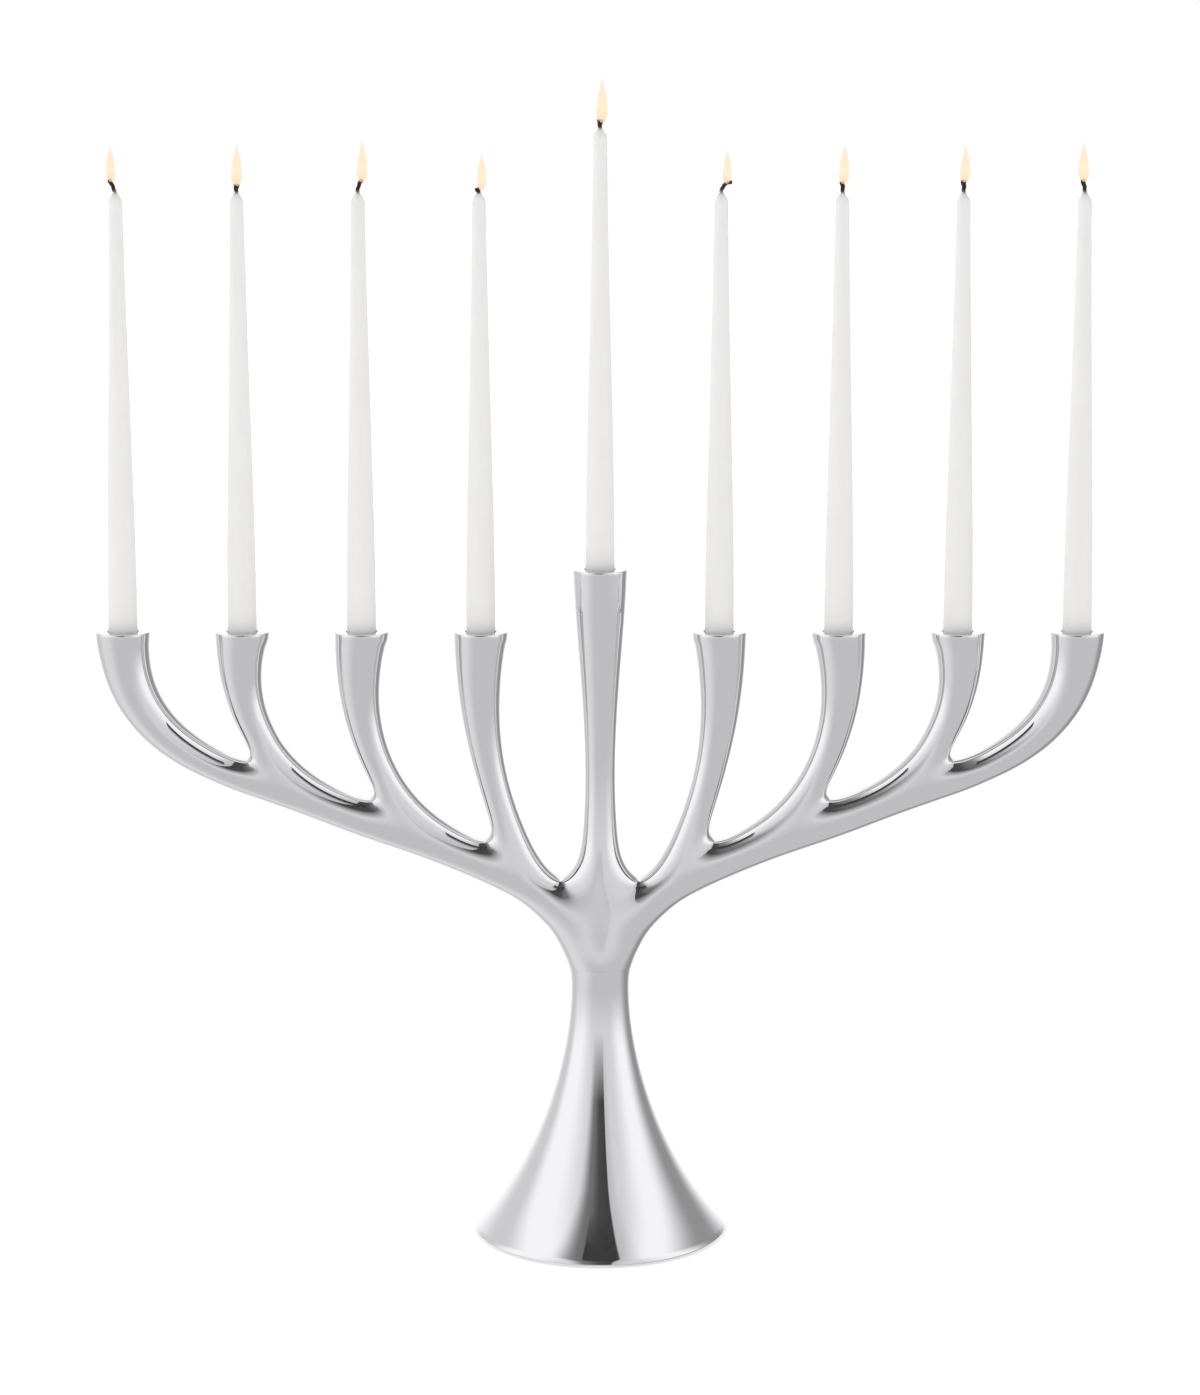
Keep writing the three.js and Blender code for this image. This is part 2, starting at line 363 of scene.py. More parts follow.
def grow_branch(bm, start, branch, settings, stations=6):
    """Carries a branch from the fork to the foot of its cup, and then makes the cup."""
    x = branch["place"] * PITCH
    route = [Vector((px, 0, pz)) for px, pz in [*branch["route"], (x, SIDE_RIM)]]
    samples = interpolate_bezier(*route, 101)
    slim = settings.branch_radius / MM
    rim = settings.rim_radius / MM
    flare = settings.cup_flare / MM
    verts = start
    for k in range(stations):
        share = branch["from"] + (BRANCH_END - branch["from"]) * k / (stations - 1)
        here = round(share * 100)
        along = samples[min(here + 1, 100)] - samples[here - 1]
        middle = samples[here]
        below = min(1, (SIDE_RIM - middle.z) / flare)
        radius = slim + (rim - slim) * (1 - below) ** branch["swell"]
        angle = math.degrees(math.atan2(along.z, along.x))
        verts = grow(bm, verts, ring((middle.x, middle.z), angle, radius, radius))
    cup(bm, verts, x, SIDE_RIM, side_cup_ring, settings)


def grow_stem(bm, start, settings):
    """Carries the centre stem from the hub, through its waist, to the raised cup."""
    waist = settings.stem_waist / MM
    verts = start
    for height, width, depth in ((137.5, 9.0, 8.0), (144, 7.0, 7.0), (154, 6.1, 6.1)):
        verts = grow(bm, verts, half_ring(height, width, depth), False)
    upper = ((168, waist), (182, 5.75), (196, 6.45), (210, 7.5), (224, 8.7), (236, 9.6))
    for height, radius in upper:
        verts = grow(bm, verts, half_ring(height, radius, radius), False)
    cup(bm, verts, 0, SHAMASH_RIM, stem_cup_ring, settings)


def grow_neck(bm, settings):
    """Makes the seat on the foot with its blind stud hole, and the neck up to the hub's collar."""
    hole = settings.hole_radius / MM
    places = half_ring(SEAM, SEAT, SEAT)
    seat = [bmesh.ops.create_vert(bm, co=place)["vert"][0] for place in places]
    verts = seat
    drilled = [
        (SEAT - 0.07, SEAM), (hole + 0.6, SEAM), (hole, SEAM), (hole, SEAM + 1), (hole, HOLE_TOP),
    ]
    for radius, height in drilled:
        verts = grow(bm, verts, half_ring(height, radius, radius), False)
    bmesh.ops.contextual_create(bm, geom=verts)
    verts = seat
    rows = [
        (SEAM + 0.05, SEAT + 0.01, SEAT + 0.01), (SEAM + 0.3, SEAT + 0.09, SEAT + 0.07),
        (103.2, 13.2, 12.5), (108.5, 15.6, 11.9),
    ]
    for height, width, depth in rows:
        verts = grow(bm, verts, half_ring(height, width, depth), False)
    collar = spots(
        (0, -10.9, 116.5), (8.8, -10.3, 115.8), (16.2, -6.8, 114.2), (19.8, 0, 113.2),
        (16.2, 6.8, 114.2), (8.8, 10.3, 115.8), (0, 10.9, 116.5),
    )
    return grow(bm, verts, collar, False)


def split_hub(bm, collar):
    """Parts the neck into the centre stem and the bough, and returns both of their rings."""
    front = grow(bm, collar[:2], spots((0, -9.5, 127), (6.6, -8.9, 127)), False)
    back = grow(bm, collar[5:], spots((6.6, 8.9, 127), (0, 9.5, 127)), False)
    limb = grow(
        bm, collar[1:6],
        spots(
            (18.6, -8.0, 125.6), (24.6, -5.6, 122.4), (27.2, 0, 120.8), (24.6, 5.6, 122.4),
            (18.6, 8.0, 125.6),
        ),
        False,
    )
    rear, top, fore = web(bm, (12, 118), (14.3, 132.8), 6.9)
    bmesh.ops.contextual_create(bm, geom=[collar[1], limb[0], fore, front[1]])
    bmesh.ops.contextual_create(bm, geom=[collar[5], back[0], rear, limb[4]])
    stem = [front[0], front[1], fore, top, rear, back[0], back[1]]
    bough = [top, rear, limb[4], limb[3], limb[2], limb[1], limb[0], fore]
    return stem, bough


def make_branch_casting(settings, metal):
    """Builds the right half of the casting, from the foot's top to the outer cup, and mirrors it."""
    bm = bmesh.new()
    stem, bough = split_hub(bm, grow_neck(bm, settings))
    grow_stem(bm, stem, settings)
    for branch, joint in zip(BRANCHES, FORKS):
        (x, z), angle, width, depth = joint["collar"]
        collar = grow(bm, bough, ring((x, z), angle, width, depth))
        upper, bough = fork(
            bm, collar, (x, z), joint["crotch"], joint["depth"],
            ring(*joint["upper"]), ring(*joint["lower"]),
        )
        grow_branch(bm, upper, branch, settings)
    grow_branch(bm, bough, BRANCHES[-1], settings, 9)
    bmesh.ops.mirror(bm, geom=bm.verts[:] + bm.edges[:] + bm.faces[:], merge_dist=1e-6, axis="X")
    bmesh.ops.recalc_face_normals(bm, faces=bm.faces[:])
    piece = finished("polished_casting", bm, metal, "stand", "polished_casting", "branch_casting")
    subdivide(piece, 3)
    return piece


# ---------------------------------------------------------------- foot and pad


WAIST_Z = 91.8  # thinnest place of the foot, in millimetres up
SHOULDER_Z = 73  # inner face that the nut pulls on
SHOULDER_RADIUS = 8.6
STUD_BORE = 4.3
RIM_EDGE = 0.9  # how far the rim's lower edge is rounded
PAD_GAP = 0.2  # round the felt in its recess


def make_trumpet_foot(settings, metal):
    """The hollow cast foot: one flaring curve outside, the same curve inside by the wall."""
    low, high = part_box("trumpet_foot")
    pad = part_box("foot_pad")[1]
    recess, recess_top = pad.x + PAD_GAP * MM, pad.z + 0.1 * MM
    rim, top, reach = low.z, high.z, high.x
    waist, waist_z, rounding = settings.waist_radius, WAIST_Z * MM, RIM_EDGE * MM
    route = [(waist, waist_z), (waist, 61 * MM), (25.5 * MM, 22.5 * MM), (reach, rim + rounding)]
    flare = interpolate_bezier(*[Vector((r, z, 0)) for r, z in route], 49)
    outside = [(p.x, p.y) for p in reversed(flare)]
    neck = interpolate_bezier(
        Vector((waist, waist_z, 0)), Vector((waist, 95.5 * MM, 0)),
        Vector((11.6 * MM, 98.4 * MM, 0)), Vector((settings.seam_radius, top - 0.02 * MM, 0)), 9,
    )
    bore, shoulder_z = STUD_BORE * MM, SHOULDER_Z * MM
    inside = []
    for here, after in zip(flare[17:44:2], flare[18:45:2]):
        along = (after - here).normalized()
        inside.append((here.x + along.y * settings.wall, here.y - along.x * settings.wall))
    profile = [(recess - 2 * MM, recess_top), (recess, recess_top), (recess, rim)]
    profile += rounded_corner((reach, rim), (0, rim), (reach, top), rounding, 6)
    profile += outside[1:]
    profile += [(p.x, p.y) for p in neck[1:-1]]
    profile += [(neck[-1].x - 0.02 * MM, neck[-1].y - 0.06 * MM), (neck[-1].x, neck[-1].y)]
    profile += [(settings.seam_radius - 0.02 * MM, top), (bore, top), (bore, shoulder_z)]
    profile += [(SHOULDER_RADIUS * MM, shoulder_z)]
    profile += inside
    return finished(
        "polished_foot", turned(profile, 128), metal, "stand", "polished_foot", "trumpet_foot"
    )


def make_foot_pad(settings, felt):
    """A felt disc with a soft cut edge."""
    low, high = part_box("foot_pad")
    reach = high.x
    profile = [(0, low.z)]
    profile += rounded_corner((reach, low.z), (0, low.z), (reach, high.z), 0.45 * MM)
    profile += rounded_corner((reach, high.z), (reach, low.z), (0, high.z), 0.45 * MM)
    profile += [(0, high.z)]
    return finished("felt_pad", turned(profile, 96), felt, "stand", "felt", "foot_pad")


# ---------------------------------------------------------------- candles
#
# A taper, its wick and its flame ride on one body, so that they lift out of the cup together.
# Heights are in millimetres above the rim of the candle's cup.

WAX_TOP = 159.4
INSERTED = 13.5  # depth of a candle in its socket
WICK_SIDES = 18
BRAID_PITCH = 2.4  # over which each strand goes a third of the way round
WICK_PATHS = {  # sideways and upward steps of each burnt end from the wax, and its thick tip
    "candle_1": ([(0, 0), (-0.3, 1.6), (-1.1, 3.6), (-2.1, 5.0)], 1.15),
    "candle_2": ([(0, 0), (0.0, 1.3), (0.0, 2.4), (0.0, 3.3)], 1.75),
    "candle_3": ([(0, 0), (-0.1, 1.6), (0.4, 3.2), (1.5, 5.0)], 1.1),
    "candle_4": ([(0, 0), (-0.1, 0.6), (-0.3, 1.2), (-0.5, 1.9)], 1.6),
    SHAMASH: ([(0, 0), (0.0, 1.2), (0.0, 2.2), (0.0, 3.4)], 1.8),
    "candle_5": ([(0, 0), (0.0, 2.0), (1.1, 4.2), (3.7, 4.0)], 1.0),
    "candle_6": ([(0, 0), (0.1, 1.2), (0.2, 2.4), (-0.2, 4.2)], 1.3),
    "candle_7": ([(0, 0), (0.1, 1.6), (0.0, 3.2), (-0.1, 4.8)], 1.55),
    "candle_8": ([(0, 0), (0.0, 1.6), (-0.3, 3.2), (-0.9, 4.9)], 1.35),
}
FLAMES = {  # sideways offset, height of its foot above the wax, and its length
    "candle_1": (-1.2, 5.2, 13.6),
    "candle_2": (0.0, 3.6, 15.6),
    "candle_3": (1.5, 5.2, 15.4),
    "candle_4": (0.8, 2.3, 13.6),
    SHAMASH: (0.5, 3.4, 16.6),
    "candle_5": (1.9, 4.6, 12.6),
    "candle_6": (0.4, 4.4, 14.6),
    "candle_7": (0.2, 5.0, 14.0),
    "candle_8": (-0.3, 5.2, 15.0),
}


def candle_spot(name):
    """The X place of a candle and the height of its cup's rim, from the frame."""
    low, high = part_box(name)
    return (low.x + high.x) / 2, low.z + INSERTED * MM


def make_candle(name, settings, wax):
    """A dipped taper: a straight foot, a long taper and a shoulder drawn up to the wick."""
    x, rim = candle_spot(name)
    base, shoulder, bore = settings.base_radius, settings.shoulder_radius, settings.bore_radius
    taper = interpolate_bezier(
        Vector((base - 0.05 * MM, 9 * MM, 0)), Vector((5.15 * MM, 47 * MM, 0)),
        Vector((3.75 * MM, 80 * MM, 0)), Vector((shoulder, 149 * MM, 0)), 25,
    )
    tip = interpolate_bezier(
        Vector((shoulder - 0.06 * MM, 156 * MM, 0)), Vector((shoulder - 0.1 * MM, 158.3 * MM, 0)),
        Vector((1.25 * MM, 158.4 * MM, 0)), Vector((bore + 0.06 * MM, WAX_TOP * MM, 0)), 9,
    )
    profile = [(bore, -INSERTED * MM)]
    profile += rounded_corner((base, -INSERTED * MM), (0, -INSERTED * MM), (base, 0), 0.8 * MM)
    profile += [(p.x, p.y) for p in taper]
    profile += [(p.x, p.y) for p in tip]
    profile += [(bore - 0.1 * MM, (WAX_TOP - 0.6) * MM)]
    bm = turned(profile, 48)
    bmesh.ops.translate(bm, verts=bm.verts[:], vec=(x, 0, rim))
    return finished(f"taper_{name}", bm, wax, f"{name}_body", "candle_wax", name)


def tube_places(middle, along, radius, turn):
    """Places round one station of a wick, for a braid of three strands wound about its line."""
    side = Vector((0, 1, 0))
    across = side.cross(along).normalized()
    places = []
    for k in range(WICK_SIDES):
        angle = 2 * math.pi * k / WICK_SIDES
        braid = 1 + 0.16 * math.cos(3 * (angle - turn))
        places.append(middle + (across * math.cos(angle) + side * math.sin(angle)) * radius * braid)
    return places


def make_wick(name, settings, cotton):
    """A braided wick, straight in its bore, with a charred end that leans and thickens."""
    x, rim = candle_spot(name)
    steps, tip_width = WICK_PATHS[name]
    wax_top = rim + WAX_TOP * MM
    free = [Vector((x + dx * MM, 0, wax_top + dz * MM)) for dx, dz in steps]
    bottom = Vector((x, 0, rim - (INSERTED - 0.3) * MM))
    stations = [bottom.lerp(free[0], k / 4) for k in range(4)]
    stations += interpolate_bezier(*free, 19)
    slim = settings.wick_radius
    bm = bmesh.new()
    burn = bm.verts.layers.float.new("burn")
    burn_of = []
    verts = None
    for k, middle in enumerate(stations):
        after = stations[min(k + 1, len(stations) - 1)]
        before = stations[max(k - 1, 0)]
        share = max(0, (k - 4) / (len(stations) - 5))
        radius = slim * (1 + (tip_width - 1) * share ** 1.6) * (1 if k else 0.9)
        turn = (middle.z - bottom.z) / (BRAID_PITCH * MM) * 2 * math.pi / 3
        places = tube_places(middle, (after - before).normalized(), radius, turn)
        if verts is None:
            verts = [bmesh.ops.create_vert(bm, co=place)["vert"][0] for place in places]
            bmesh.ops.contextual_create(bm, geom=verts)
        else:
            verts = grow(bm, verts, places)
        burn_of += [(vert, share) for vert in verts]
    tip = stations[-1] + (stations[-1] - stations[-2]).normalized() * slim * 0.5
    ahead = (tip - stations[-2]).normalized()
    for size, rise in ((0.8, 0.35), (0.4, 0.8)):
        places = tube_places(stations[-1].lerp(tip, rise), ahead, slim * tip_width * size, turn)
        verts = grow(bm, verts, places)
        burn_of += [(vert, 1.0) for vert in verts]
    bmesh.ops.contextual_create(bm, geom=verts)
    for vert, share in burn_of:
        vert[burn] = share
    bmesh.ops.recalc_face_normals(bm, faces=bm.faces[:])
    number = name.replace("candle", "wick")
    return finished(f"braided_{number}", bm, cotton, f"{name}_body", "wick_cotton", number)


def make_flame(name, fire):
    """A small steady flame: a teardrop, widest low down, drawn to a thin tip."""
    x, rim = candle_spot(name)
    offset, lift, length = FLAMES[name]
    foot = rim + (WAX_TOP + lift - 1.2) * MM
    outline = interpolate_bezier(
        Vector((0, 0, 0)), Vector((0.1862, 0.02, 0)), Vector((0.1666, 0.42, 0)), Vector((0, 1, 0)), 25
    )
    bm = turned([(p.x * length * MM, p.y * length * MM) for p in outline], 32, closed=False)
    rise = bm.verts.layers.float.new("rise")
    for vert in bm.verts:
        share = vert.co.z / (length * MM)
        vert[rise] = share
        vert.co.x += math.sin(share * 2.6) * 0.35 * MM * (1 if offset >= 0 else -1)
    bmesh.ops.translate(bm, verts=bm.verts[:], vec=(x + offset * MM, 0, foot))
    return finished(f"flame_{name}", bm, fire, f"{name}_body", None)


# ---------------------------------------------------------------- materials


def add_node(tree, kind, inputs=None, **options):
    """Adds a node with its options set and its inputs given as values or as other nodes' outputs."""
    node = tree.nodes.new(kind)
    for option, value in options.items():
        setattr(node, option, value)
    for socket, value in (inputs or {}).items():
        if isinstance(value, bpy.types.NodeSocket):
            tree.links.new(value, node.inputs[socket])
        else:
            node.inputs[socket].default_value = value
    return node


def new_material(name, colour):
    """A material, with its node tree and its Principled shader."""
    material = bpy.data.materials.new(name)
    material.use_nodes = True
    material.diffuse_color = (*colour, 1)
    tree = material.node_tree
    shader = next(node for node in tree.nodes if node.type == "BSDF_PRINCIPLED")
    return material, tree, shader


def polished_aluminium(colour):
    """Sand-cast aluminium, buffed to a mirror: clear reflections, slightly wavy where the wheel
    followed the casting, with a faint haze and hairlines from the last polishing mop."""
    material, tree, shader = new_material("polished_aluminium", colour)
    place = add_node(tree, "ShaderNodeTexCoord").outputs["Object"]
    shader.inputs["Metallic"].default_value = 1.0
    haze = add_node(tree, "ShaderNodeTexNoise", {"Vector": place, "Scale": 45.0, "Detail": 3.0})
    rough = add_node(
        tree, "ShaderNodeMapRange",
        {"Value": haze.outputs["Fac"], "From Min": 0.3, "From Max": 0.7, "To Min": 0.02, "To Max": 0.05},
    )
    dull = tuple(c * 0.985 for c in colour)
    tint = add_node(
        tree, "ShaderNodeMix", {"Factor": haze.outputs["Fac"], "A": (*dull, 1), "B": (*colour, 1)},
        data_type="RGBA",
    )
    wave = add_node(tree, "ShaderNodeTexNoise", {"Vector": place, "Scale": 38.0, "Detail": 1.0})
    wavy = add_node(
        tree, "ShaderNodeBump", {"Height": wave.outputs["Fac"], "Strength": 0.12, "Distance": 0.0006}
    )
    stretched = add_node(tree, "ShaderNodeMapping", {"Vector": place, "Scale": (1.0, 1.0, 0.12)})
    hairs = add_node(
        tree, "ShaderNodeTexNoise",
        {"Vector": stretched.outputs["Vector"], "Scale": 2600.0, "Detail": 2.0},
    )
    fine = add_node(
        tree, "ShaderNodeBump",
        {
            "Height": hairs.outputs["Fac"], "Strength": 0.05, "Distance": 0.00002,
            "Normal": wavy.outputs["Normal"],
        },
    )
    tree.links.new(tint.outputs["Result"], shader.inputs["Base Color"])
    tree.links.new(rough.outputs["Result"], shader.inputs["Roughness"])
    tree.links.new(fine.outputs["Normal"], shader.inputs["Normal"])
    return material


def plated_steel(colour):
    """Zinc-plated turned steel: satin, with lathe lines 0.3 mm apart and a faint blue-yellow bloom."""
    material, tree, shader = new_material("zinc_plated_steel", colour)
    place = add_node(tree, "ShaderNodeTexCoord").outputs["Object"]
    shader.inputs["Metallic"].default_value = 1.0
    bloom = add_node(tree, "ShaderNodeTexNoise", {"Vector": place, "Scale": 160.0, "Detail": 2.0})
    warm = tuple(c * share for c, share in zip(colour, (1, 0.97, 0.88)))
    cool = tuple(c * share for c, share in zip(colour, (0.9, 0.96, 1)))
    tint = add_node(
        tree, "ShaderNodeMix", {"Factor": bloom.outputs["Fac"], "A": (*warm, 1), "B": (*cool, 1)},
        data_type="RGBA",
    )
    lines = add_node(tree, "ShaderNodeTexWave", {"Vector": place, "Scale": 530.0}, bands_direction="Z")
    bump = add_node(
        tree, "ShaderNodeBump", {"Height": lines.outputs["Fac"], "Strength": 0.3, "Distance": 0.0001}
    )
    tree.links.new(tint.outputs["Result"], shader.inputs["Base Color"])
    tree.links.new(bump.outputs["Normal"], shader.inputs["Normal"])
    shader.inputs["Roughness"].default_value = 0.34
    return material


def wool_felt(colour):
    """Pressed wool felt: matt, with tangled fibres about 0.3 mm across and paler stray hairs."""
    material, tree, shader = new_material("wool_felt", colour)
    place = add_node(tree, "ShaderNodeTexCoord").outputs["Object"]
    fibres = add_node(
        tree, "ShaderNodeTexNoise",
        {"Vector": place, "Scale": 1600.0, "Detail": 4.0, "Distortion": 1.5},
    )
    pale = tuple(min(1, c * 2.4 + 0.01) for c in colour)
    tint = add_node(
        tree, "ShaderNodeMix", {"Factor": fibres.outputs["Fac"], "A": (*colour, 1), "B": (*pale, 1)},
        data_type="RGBA",
    )
    bump = add_node(
        tree, "ShaderNodeBump", {"Height": fibres.outputs["Fac"], "Strength": 0.8, "Distance": 0.0003}
    )
    tree.links.new(tint.outputs["Result"], shader.inputs["Base Color"])
    tree.links.new(bump.outputs["Normal"], shader.inputs["Normal"])
    shader.inputs["Roughness"].default_value = 0.95
    shader.inputs["Sheen Weight"].default_value = 0.4
    return material


def dipped_wax(colour):
    """White dipped candle wax: a satin skin over a body that lets light in a few millimetres,
    with long soft ripples where each dip ran down."""
    material, tree, shader = new_material("dipped_wax", colour)
    place = add_node(tree, "ShaderNodeTexCoord").outputs["Object"]
    cloud = add_node(tree, "ShaderNodeTexNoise", {"Vector": place, "Scale": 90.0, "Detail": 2.0})
    shade = tuple(c * 0.965 for c in colour)
    tint = add_node(
        tree, "ShaderNodeMix", {"Factor": cloud.outputs["Fac"], "A": (*shade, 1), "B": (*colour, 1)},
        data_type="RGBA",
    )
    long = add_node(tree, "ShaderNodeMapping", {"Vector": place, "Scale": (1.0, 1.0, 0.16)})
    ripple = add_node(
        tree, "ShaderNodeTexNoise", {"Vector": long.outputs["Vector"], "Scale": 320.0, "Detail": 2.0}
    )
    bump = add_node(
        tree, "ShaderNodeBump", {"Height": ripple.outputs["Fac"], "Strength": 0.25, "Distance": 0.0003}
    )
    tree.links.new(tint.outputs["Result"], shader.inputs["Base Color"])
    tree.links.new(bump.outputs["Normal"], shader.inputs["Normal"])
    shader.inputs["Roughness"].default_value = 0.38
    shader.inputs["IOR"].default_value = 1.44
    shader.inputs["Subsurface Weight"].default_value = 0.35
    shader.inputs["Subsurface Radius"].default_value = (1.0, 0.9, 0.8)
    shader.inputs["Subsurface Scale"].default_value = 0.003
    return material


BROWNED = "#654B34"
ASH = "#555250"


def burnt_cotton(cotton, char):
    """Braided cotton, cream near the wax, browned and then charred black with ash on its end."""
    material, tree, shader = new_material("burnt_cotton", char)
    place = add_node(tree, "ShaderNodeTexCoord").outputs["Object"]
    burn = add_node(tree, "ShaderNodeAttribute", attribute_name="burn").outputs["Fac"]
    ramp = add_node(tree, "ShaderNodeValToRGB", {"Fac": burn})
    stops = ramp.color_ramp.elements
    stops[0].position, stops[0].color = 0.04, (*cotton, 1)
    stops[1].position, stops[1].color = 0.34, (*char, 1)
    brown = stops.new(0.18)
    brown.color = (*linear(BROWNED), 1)
    ash = add_node(tree, "ShaderNodeTexNoise", {"Vector": place, "Scale": 2200.0, "Detail": 3.0})
    speck = add_node(
        tree, "ShaderNodeMapRange",
        {"Value": ash.outputs["Fac"], "From Min": 0.5, "From Max": 0.75, "To Min": 0.0, "To Max": 0.35},
    )
    tint = add_node(
        tree, "ShaderNodeMix",
        {"Factor": speck.outputs["Result"], "A": ramp.outputs["Color"], "B": (*linear(ASH), 1)},
        data_type="RGBA",
    )
    bump = add_node(
        tree, "ShaderNodeBump", {"Height": ash.outputs["Fac"], "Strength": 0.7, "Distance": 0.0002}
    )
    tree.links.new(tint.outputs["Result"], shader.inputs["Base Color"])
    tree.links.new(bump.outputs["Normal"], shader.inputs["Normal"])
    shader.inputs["Roughness"].default_value = 0.9
    return material


def candle_fire(middle, edge):
    """A flame in bright light: a pale glow, clear at its rim and tip, warmer near the wick."""
    material, tree, shader = new_material("candle_fire", middle)
    rise = add_node(tree, "ShaderNodeAttribute", attribute_name="rise").outputs["Fac"]
    ramp = add_node(tree, "ShaderNodeValToRGB", {"Fac": rise})
    stops = ramp.color_ramp.elements
    stops[0].position, stops[0].color = 0.0, (*edge, 1)
    stops[1].position, stops[1].color = 1.0, (*edge, 1)
    glow = stops.new(0.35)
    glow.color = (*middle, 1)
    facing = add_node(tree, "ShaderNodeLayerWeight", {"Blend": 0.35}).outputs["Facing"]
    body = add_node(
        tree, "ShaderNodeMapRange",
        {"Value": facing, "From Min": 0.1, "From Max": 0.95, "To Min": 0.7, "To Max": 0.0},
    )
    fade = add_node(
        tree, "ShaderNodeMapRange",
        {"Value": rise, "From Min": 0.5, "From Max": 1.0, "To Min": 1.0, "To Max": 0.3},
    )
    amount = add_node(
        tree, "ShaderNodeMath", {0: body.outputs["Result"], 1: fade.outputs["Result"]},
        operation="MULTIPLY",
    )
    tree.links.new(ramp.outputs["Color"], shader.inputs["Emission Color"])
    tree.links.new(amount.outputs["Value"], shader.inputs["Alpha"])
    shader.inputs["Base Color"].default_value = (0, 0, 0, 1)
    shader.inputs["Emission Strength"].default_value = 1.0
    shader.inputs["Specular IOR Level"].default_value = 0.0
    return material


# ---------------------------------------------------------------- studio


FLOOR_REACH = 6.0  # metres from the menorah to the floor's edge


def make_floor(settings):
    """A wide pale floor that glows a little, so that it runs into the white backdrop."""
    bm = bmesh.new()
    bmesh.ops.create_grid(bm, x_segments=8, y_segments=8, size=FLOOR_REACH)
    mesh = bpy.data.meshes.new("studio_floor")
    bm.to_mesh(mesh)
    bm.free()
    floor = bpy.data.objects.new("studio_floor", mesh)
    bpy.context.scene.collection.objects.link(floor)
    colour = tuple(settings.floor_colour)
    material, tree, shader = new_material("matt_studio_floor", colour)
    place = add_node(tree, "ShaderNodeTexCoord").outputs["Object"]
    mottle = add_node(tree, "ShaderNodeTexNoise", {"Vector": place, "Scale": 30.0, "Detail": 2.0})
    shade = tuple(c * 0.99 for c in colour)
    tint = add_node(
        tree, "ShaderNodeMix", {"Factor": mottle.outputs["Fac"], "A": (*shade, 1), "B": (*colour, 1)},
        data_type="RGBA",
    )
    tree.links.new(tint.outputs["Result"], shader.inputs["Base Color"])
    shader.inputs["Roughness"].default_value = 0.9
    shader.inputs["Specular IOR Level"].default_value = 0.0
    shader.inputs["Emission Color"].default_value = (1, 1, 1, 1)
    shader.inputs["Emission Strength"].default_value = settings.floor_glow
    mesh.materials.append(material)
    floor.visible_glossy = False


# What stands round the menorah, by compass bearing in degrees from the camera's side, left being
# negative: where each thing begins and ends, its brightness up to the menorah's own level, and its
# brightness above. The room eases over from each one to the next.
SURROUNDINGS = {
    "backdrop_left": (-180, -155, 1.2, 1.2),
    "left_flag": (-125, -115, 0.7, 0.75),
    "left_softbox": (-90, -70, 0.85, 1.15),
    "dim_front": (-20, 30, 0.65, 0.8),
    "right_softbox": (70, 80, 0.65, 1.15),
    "right_flag": (120, 130, 0.35, 0.35),
    "backdrop_right": (160, 180, 1.2, 1.2),
}
# The dark gap between the overhead softboxes: places across it, and how much light is left there.
# It opens softly from the left box and ends sharply at the right one.
GAP = [(-0.45, 1.0), (-0.2, 0.25), (0.0, 0.1), (0.16, 0.08), (0.18, 0.8), (0.4, 1.0)]
GAP_REACH = 0.5


def grey(tone):
    return (tone, tone, tone, 1)


